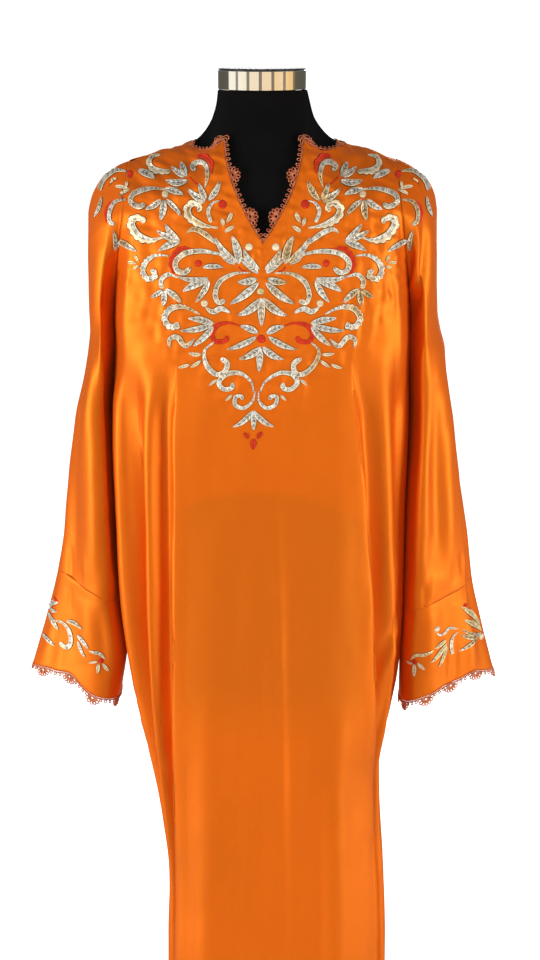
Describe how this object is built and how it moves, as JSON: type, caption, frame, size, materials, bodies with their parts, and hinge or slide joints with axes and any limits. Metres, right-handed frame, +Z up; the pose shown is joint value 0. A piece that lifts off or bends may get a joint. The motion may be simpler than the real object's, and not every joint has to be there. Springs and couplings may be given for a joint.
{
  "type": "embroidered silk kaftan dress on a limbless dress form",
  "caption": "Long-sleeved silk kaftan with a slit neckline, crocheted lace edging and an embroidered yoke, hanging on a black dress form with a pole and a round base.",
  "frame": {"origin": "middle of the base's underside", "axes": "+Z up along the pole; the front of the dress faces -Y, and +X is to the right as seen from the front"},
  "size_m": [0.6161, 0.34, 1.5538],
  "materials": {
    "silk": "orange satin",
    "lace": "crocheted coral thread",
    "jersey": "black matt jersey",
    "chrome": "polished",
    "stand": "satin black"
  },
  "bodies": {
    "root": {"front_panel": "silk", "back_panel": "silk", "left_sleeve": "silk", "right_sleeve": "silk", "left_cuff": "silk", "right_cuff": "silk", "neck_lace": "lace", "left_cuff_lace": "lace", "right_cuff_lace": "lace", "form_torso": "jersey", "neck_cap": "chrome", "pole": "chrome", "base": "stand"}
  },
  "joints": []
}
